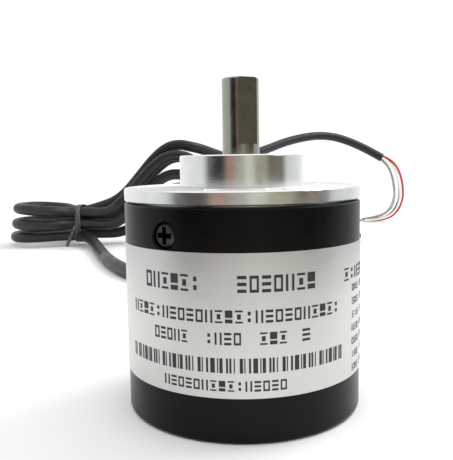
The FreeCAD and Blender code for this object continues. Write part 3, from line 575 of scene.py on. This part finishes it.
class Finish:
    """One procedural material, with short calls for the nodes that it is made of."""

    def __init__(self, name, color, metallic=0.0, roughness=0.5, **constants):
        self.material = bpy.data.materials.new(name)
        self.material.use_nodes = True
        self.material.diffuse_color = (*color, 1)
        self.tree = self.material.node_tree
        self.shader = self.tree.nodes["Principled BSDF"]
        self.shader.inputs["Base Color"].default_value = (*color, 1)
        self.shader.inputs["Metallic"].default_value = metallic
        self.shader.inputs["Roughness"].default_value = roughness
        for socket, value in constants.items():
            self.shader.inputs[socket.replace("_", " ")].default_value = value
        self.position = self.tree.nodes.new("ShaderNodeTexCoord").outputs["Object"]

    def node(self, kind, inputs=(), **settings):
        made = self.tree.nodes.new("ShaderNode" + kind)
        for setting, value in settings.items():
            setattr(made, setting, value)
        for key, value in inputs:
            if isinstance(value, bpy.types.NodeSocket):
                self.tree.links.new(value, made.inputs[key])
            else:
                made.inputs[key].default_value = value
        return made

    def math(self, operation, *values):
        return self.node("Math", list(enumerate(values)), operation=operation).outputs[0]

    def scaled(self, vector, x, y, z):
        return self.node("VectorMath", [(0, vector), (1, (x, y, z))], operation="MULTIPLY").outputs[0]

    def noise(self, vector, per_mm, detail=3.0, rough=0.55):
        """Noise with this many features per millimetre."""
        return self.node("TexNoise", [("Vector", vector), ("Scale", per_mm / MM), ("Detail", detail),
                                      ("Roughness", rough)]).outputs["Fac"]

    def ramp(self, factor, *stops):
        """Values at places along a factor, as (place, value or colour)."""
        made = self.node("ValToRGB", [("Fac", factor)])
        elements = made.color_ramp.elements
        while len(elements) < len(stops):
            elements.new(0.5)
        for element, (place, value) in zip(elements, stops):
            element.position = place
            element.color = (*value, 1) if isinstance(value, tuple) else (value, value, value, 1)
        return made.outputs["Color"]

    def span(self, factor, low, high, start=0.3, end=0.7):
        """A factor's middle part, spread from low to high."""
        return self.node("MapRange", [("Value", factor), ("From Min", start), ("From Max", end),
                                      ("To Min", low), ("To Max", high)]).outputs[0]

    def around_axis(self):
        """Distance from the shaft's axis, height, and angle round it."""
        parts = self.node("SeparateXYZ", [(0, self.position)]).outputs
        radius = self.math("SQRT", self.math("ADD", self.math("MULTIPLY", parts[0], parts[0]),
                                             self.math("MULTIPLY", parts[1], parts[1])))
        angle = self.math("ARCTAN2", parts[1], parts[0])
        return radius, parts[2], angle

    def turning_lines(self, per_mm, sweep=0.0004):
        """Fine lines round the shaft's axis, as left by a lathe tool."""
        radius, height, angle = self.around_axis()
        joined = self.node("CombineXYZ", [(0, radius), (1, height), (2, self.math("MULTIPLY", angle, sweep))])
        return self.noise(joined.outputs[0], per_mm, detail=2.0)

    def bump(self, height, depth_mm, normal=None):
        inputs = [("Height", height), ("Distance", depth_mm * MM), ("Strength", 1.0)]
        if normal:
            inputs.append(("Normal", normal))
        return self.node("Bump", inputs).outputs[0]

    def link(self, socket, value):
        self.tree.links.new(value, self.shader.inputs[socket])


def turned_metal(name, color, roughness, lines_per_mm, depth_mm, facing=0.0):
    """Lathe-turned metal: lines round the axis, gloss stretched across them, smudges, rougher flat ends."""
    finish = Finish(name, color, 1.0, roughness, Anisotropic=0.65, Anisotropic_Rotation=0.25)
    lines = finish.turning_lines(lines_per_mm)
    smudge = finish.noise(finish.position, 0.35)
    cut = finish.span(lines, roughness * 0.8, roughness * 1.2)
    rough = finish.math("ADD", cut, finish.span(smudge, 0.0, 0.06))
    if facing:
        normal = finish.node("NewGeometry").outputs["Normal"]
        upward = finish.math("ABSOLUTE", finish.node("SeparateXYZ", [(0, normal)]).outputs[2])
        rough = finish.math("ADD", rough, finish.span(upward, 0.0, facing, 0.8, 1.0))
    finish.link("Roughness", rough)
    shade = finish.span(smudge, 0.93, 1.0)
    tint = finish.node("VectorMath", [(0, color), ("Scale", shade)], operation="SCALE").outputs[0]
    finish.link("Base Color", tint)
    finish.link("Normal", finish.bump(lines, depth_mm))
    finish.link("Tangent", finish.node("Tangent", direction_type="RADIAL", axis="Z").outputs[0])
    return finish.material


def make_black_abs():
    """Moulded black plastic: fine spark-eroded grain, a handling sheen and a few specks of dust."""
    black = (0.0008, 0.0008, 0.0008)
    finish = Finish("black_abs", black, 0.0, 0.3, Specular_IOR_Level=0.165)
    grain = finish.noise(finish.position, 9.0, detail=2.0)
    broad = finish.noise(finish.position, 0.25)
    sheen = finish.span(broad, 0.26, 0.33)
    finish.link("Roughness", finish.math("ADD", sheen, finish.span(grain, -0.03, 0.03)))
    speck = finish.node("TexVoronoi", [("Vector", finish.position), ("Scale", 0.4 / MM)]).outputs["Distance"]
    finish.link("Base Color", finish.ramp(speck, (0.02, (0.03, 0.03, 0.029)), (0.035, black)))
    finish.link("Normal", finish.bump(grain, 0.004))
    return finish.material


def make_label_foil():
    """Satin silver foil: very fine grain, slightly uneven where it is stuck down."""
    finish = Finish("label_foil", (0.6, 0.61, 0.59), 1.0, 0.36)
    grain = finish.noise(finish.position, 14.0, detail=2.0)
    waves = finish.noise(finish.scaled(finish.position, 1, 1, 2.5), 0.12, detail=1.0)
    finish.link("Roughness", finish.span(grain, 0.32, 0.4))
    finish.link("Normal", finish.bump(waves, 0.03, finish.bump(grain, 0.0015)))
    return finish.material


def make_label_ink():
    """Matt black ink that covers a little unevenly."""
    finish = Finish("label_ink", (0.012, 0.012, 0.012), 0.0, 0.5)
    patch = finish.noise(finish.position, 6.0)
    finish.link("Base Color", finish.ramp(patch, (0.35, (0.006, 0.006, 0.006)), (0.75, (0.03, 0.03, 0.03))))
    finish.link("Normal", finish.bump(patch, 0.002))
    return finish.material


def make_black_oxide():
    """Blackened steel, with painted shade: the base colour goes black down in the recesses below the screw
    heads' faces.
    """
    finish = Finish("black_oxide", (0.045, 0.045, 0.046), 1.0, 0.42)
    patch = finish.noise(finish.position, 5.0)
    face_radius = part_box("rear_cover")[1].x - HEAD_SINK * MM
    radius = finish.around_axis()[0]
    # painted shade: the base colour falls to black below the screw heads' faces, where the recesses lie in
    # shade
    recess_shade_mask = finish.span(radius, 0.0, 1.0, face_radius - 0.3 * MM, face_radius - 0.2 * MM)
    worn = finish.ramp(patch, (0.3, (0.035, 0.035, 0.036)), (0.7, (0.085, 0.085, 0.087)))
    recess_shaded_colour = finish.node("VectorMath", [(0, worn), (1, recess_shade_mask)], operation="MULTIPLY").outputs[0]
    finish.link("Base Color", recess_shaded_colour)
    finish.link("Roughness", finish.span(patch, 0.34, 0.5))
    finish.link("Normal", finish.bump(finish.noise(finish.position, 12.0), 0.003))
    return finish.material


def make_jacket(name="cable_jacket", color=(0.009, 0.009, 0.0092)):
    """Soft PVC: the wires laid up inside show faintly, over fine extrusion grain and some dust."""
    finish = Finish(name, color, 0.0, 0.45, Specular_IOR_Level=0.4)
    lay = finish.noise(finish.position, 0.3, detail=1.0)
    grain = finish.noise(finish.position, 6.0)
    dust = finish.noise(finish.position, 1.1, detail=4.0, rough=0.65)
    pale = tuple(channel * 2.4 for channel in color)
    finish.link("Base Color", finish.ramp(dust, (0.5, color), (0.8, pale)))
    sheen = finish.span(lay, 0.38, 0.5)
    finish.link("Roughness", finish.math("ADD", sheen, finish.span(grain, -0.03, 0.03)))
    finish.link("Normal", finish.bump(lay, 0.05, finish.bump(grain, 0.003)))
    return finish.material


def make_rubber():
    """Matt black rubber with a coarse grain and pale dust in it."""
    finish = Finish("grommet_rubber", (0.009, 0.009, 0.0095), 0.0, 0.6, Specular_IOR_Level=0.35)
    grain = finish.noise(finish.position, 4.0, detail=5.0)
    finish.link("Base Color", finish.ramp(grain, (0.35, (0.007, 0.007, 0.007)), (0.8, (0.03, 0.03, 0.029))))
    finish.link("Roughness", finish.span(grain, 0.5, 0.72))
    finish.link("Normal", finish.bump(grain, 0.012))
    return finish.material


def make_insulation(name, color):
    """Thin coloured PVC round one wire: a soft gloss with slight waxiness."""
    finish = Finish(name, color, 0.0, 0.33)
    cloud = finish.noise(finish.position, 1.2)
    dark = tuple(channel * 0.72 for channel in color)
    finish.link("Base Color", finish.ramp(cloud, (0.3, dark), (0.7, color)))
    finish.link("Roughness", finish.span(cloud, 0.26, 0.42))
    finish.link("Normal", finish.bump(finish.noise(finish.position, 3.0), 0.012))
    return finish.material


def make_moulded(name, color, roughness=0.5, grain_mm=6.0, metallic=0.0, spread=0.25):
    """A plain moulded, plated or coated surface with its own grain and uneven colour."""
    finish = Finish(name, color, metallic, roughness)
    grain = finish.noise(finish.position, grain_mm)
    broad = finish.noise(finish.position, 0.6)
    dark = tuple(channel * (1 - spread) for channel in color)
    finish.link("Base Color", finish.ramp(broad, (0.3, dark), (0.7, color)))
    finish.link("Roughness", finish.span(grain, roughness * 0.8, min(roughness * 1.2, 1.0)))
    finish.link("Normal", finish.bump(grain, 0.004))
    return finish.material


def make_glass():
    """Clear glass with a dark ring of fine radial slits near its rim."""
    clear, dark = (0.9, 0.95, 0.95), (0.02, 0.02, 0.02)
    slit_count, track_radius, track_width = 400, 10.6, 1.8
    finish = Finish("disc_glass", clear, 0.0, 0.05, Transmission_Weight=1.0)
    radius, _, angle = finish.around_axis()
    wave = finish.math("SINE", finish.math("MULTIPLY", angle, slit_count))
    slits = finish.math("GREATER_THAN", wave, 0.0)
    band = finish.math("COMPARE", radius, track_radius * MM, track_width / 2 * MM)
    finish.link("Base Color", finish.ramp(finish.math("MULTIPLY", slits, band), (0.4, clear), (0.6, dark)))
    return finish.material


def make_finishes():
    """One material for each finish that the record names, and the label's ink."""
    return {
        "machined_aluminium": turned_metal("machined_aluminium", (0.92, 0.925, 0.92), 0.16, 5.0, 0.006,
                                           facing=0.7),
        "shaft_steel": turned_metal("shaft_steel", (0.41, 0.395, 0.35), 0.17, 7.0, 0.002),
        "bearing_steel": turned_metal("bearing_steel", (0.7, 0.7, 0.71), 0.12, 9.0, 0.001),
        "spring_steel": turned_metal("spring_steel", (0.32, 0.32, 0.33), 0.3, 6.0, 0.002),
        "turned_brass": turned_metal("turned_brass", (0.75, 0.56, 0.25), 0.22, 6.0, 0.003),
        "black_abs": make_black_abs(),
        "black_oxide": make_black_oxide(),
        "label_foil": make_label_foil(),
        "label_ink": make_label_ink(),
        "disc_glass": make_glass(),
        "cable_jacket": make_jacket(),
        "grommet_rubber": make_rubber(),
        "tie_plastic": make_jacket("tie_plastic", (0.075, 0.075, 0.073)),
        "cage_steel": make_moulded("cage_steel", (0.6, 0.59, 0.57), 0.3, 8.0, 1.0),
        "can_aluminium": make_moulded("can_aluminium", (0.75, 0.75, 0.76), 0.28, 8.0, 1.0),
        "solder_tin": make_moulded("solder_tin", (0.72, 0.72, 0.72), 0.25, 5.0, 1.0),
        "screw_steel": make_moulded("screw_steel", (0.62, 0.61, 0.6), 0.3, 9.0, 1.0),
        "wire_shield": make_moulded("wire_shield", (0.66, 0.64, 0.61), 0.32, 9.0, 1.0),
        "holder_plastic": make_moulded("holder_plastic", (0.02, 0.02, 0.021), 0.5),
        "lamp_resin": make_moulded("lamp_resin", (0.3, 0.25, 0.42), 0.12),
        "board_green": make_moulded("board_green", (0.015, 0.13, 0.05), 0.35),
        "chip_black": make_moulded("chip_black", (0.018, 0.018, 0.019), 0.55),
        "strap_nylon": make_moulded("strap_nylon", (0.72, 0.72, 0.68), 0.5),
        "wire_red": make_insulation("wire_red", (0.55, 0.02, 0.018)),
        "wire_black": make_insulation("wire_black", (0.012, 0.012, 0.012)),
        "wire_green": make_insulation("wire_green", (0.02, 0.22, 0.06)),
        "wire_white": make_insulation("wire_white", (0.82, 0.82, 0.8)),
    }


def finish_frame(finishes):
    """Give every CAD piece the material of its slot."""
    for part in record["subparts"]:
        node = nodes[part["node"]]
        for place in node.material_slots:
            place.material = finishes[part["material_slot"]]


# ---------------------------------------------------------------- studio

# The reflector wall round the front: degrees from the front towards the right, and the wall's tone there.
WALL_TONES = (
    (-165, (1.0, 1.02, 1.01)), (-120, (0.84, 0.86, 0.85)), (-73, (0.70, 0.73, 0.72)),
    (-60, (0.12, 0.125, 0.125)), (-48, (0.03, 0.03, 0.03)), (-38, (0.015, 0.015, 0.015)),
    (-31, (0.07, 0.06, 0.056)), (-25, (0.32, 0.20, 0.15)), (-15, (0.33, 0.21, 0.165)),
    (-8, (0.30, 0.30, 0.26)), (3, (0.35, 0.36, 0.30)), (9, (0.54, 0.57, 0.48)),
    (19, (0.50, 0.52, 0.43)), (28, (0.29, 0.29, 0.20)), (44, (0.31, 0.30, 0.21)),
    (53, (0.12, 0.12, 0.09)), (64, (0.18, 0.13, 0.10)), (73, (0.12, 0.125, 0.11)),
    (81, (0.18, 0.185, 0.17)), (90, (0.59, 0.62, 0.60)), (120, (0.73, 0.75, 0.74)),
    (165, (1.0, 1.02, 1.01)),
)
# The wall's profile, as distances out and up: a low step close by, which the cover and the label mirror,
# and the far wall above it.
WALL_PROFILE = ((0.15, 0), (0.15, 0.02), (0.36, 0.02), (0.36, 0.45))
WALL_STEPS = 110
FLOOR_REACH = 3.0


def stage_object(name, mesh, material):
    """Link a bmesh as a piece of the studio."""
    data = bpy.data.meshes.new(name)
    mesh.to_mesh(data)
    mesh.free()
    data.materials.append(material)
    thing = bpy.data.objects.new(name, data)
    scene.collection.objects.link(thing)
    return thing


def make_wall_glow(first, last):
    """Light of its own, in tones that change with the direction from the encoder."""
    finish = Finish("wall_tones", (1, 1, 1))
    parts = finish.node("SeparateXYZ", [(0, finish.position)]).outputs
    right_of_camera = finish.math("ARCTAN2", parts[0], finish.math("MULTIPLY", parts[1], -1))
    share = finish.span(right_of_camera, 0.0, 1.0, math.radians(first), math.radians(last))
    stops = [((angle - first) / (last - first), tone) for angle, tone in WALL_TONES]
    finish.link("Emission Color", finish.ramp(share, *stops))
    finish.shader.inputs["Emission Strength"].default_value = 1.0
    finish.shader.inputs["Base Color"].default_value = (0, 0, 0, 1)
    finish.shader.inputs["Specular IOR Level"].default_value = 0
    return finish.material


def make_reflector_wall():
    """An upright curved wall in front that only shiny surfaces see: the studio's cards and dark gaps."""
    first, last = WALL_TONES[0][0], WALL_TONES[-1][0]
    mesh = bmesh.new()
    columns = []
    for step in range(WALL_STEPS + 1):
        angle = math.radians(first + (last - first) * step / WALL_STEPS)
        outward = Vector((math.sin(angle), -math.cos(angle), 0))
        column = [outward * radius + Vector((0, 0, level)) for radius, level in WALL_PROFILE]
        columns.append([mesh.verts.new(place) for place in column])
    for near, far in zip(columns, columns[1:]):
        for low in range(len(WALL_PROFILE) - 1):
            mesh.faces.new((near[low], far[low], far[low + 1], near[low + 1]))
    wall = stage_object("reflector_wall", mesh, make_wall_glow(first, last))
    wall.visible_camera = False
    wall.visible_diffuse = False
    wall.visible_transmission = False
    wall.visible_shadow = False


def make_floor():
    """A plain pale sheet of paper that the encoder and its cable lie on."""
    mesh = bmesh.new()
    corners = [(x * FLOOR_REACH, y * FLOOR_REACH, 0) for x, y in ((-1, -1), (1, -1), (1, 1), (-1, 1))]
    mesh.faces.new([mesh.verts.new(corner) for corner in corners])
    paper = Finish("floor_paper", (0.96, 0.96, 0.955), 0.0, 0.9, Specular_IOR_Level=0.1)
    paper.link("Normal", paper.bump(paper.noise(paper.position, 1.5), 0.01))
    stage_object("floor", mesh, paper.material)


def make_lights():
    """A white room, and one soft lamp up at the right and behind."""
    world = bpy.data.worlds.new("studio_world")
    scene.world = world
    world.use_nodes = True
    background = world.node_tree.nodes["Background"]
    background.inputs["Color"].default_value = (1, 1, 1, 1)
    background.inputs["Strength"].default_value = 1.08
    lamp = bpy.data.lights.new("softbox", "AREA")
    lamp.shape = "RECTANGLE"
    lamp.size = 0.3
    lamp.size_y = 0.2
    lamp.energy = 1.3
    softbox = bpy.data.objects.new("softbox", lamp)
    place = Vector((0.32, 0.18, 0.42))
    softbox.matrix_world = Matrix.Translation(place) @ (-place).to_track_quat("-Z", "Y").to_matrix().to_4x4()
    scene.collection.objects.link(softbox)


def make_studio():
    """Floor, lights and reflector, shown without a film look."""
    make_floor()
    make_lights()
    make_reflector_wall()
    scene.view_settings.view_transform = "Standard"


# ---------------------------------------------------------------- build

make_camera()
finishes = make_finishes()
make_cords(finishes)
finish_frame(finishes)
make_label_print(finishes)
make_studio()
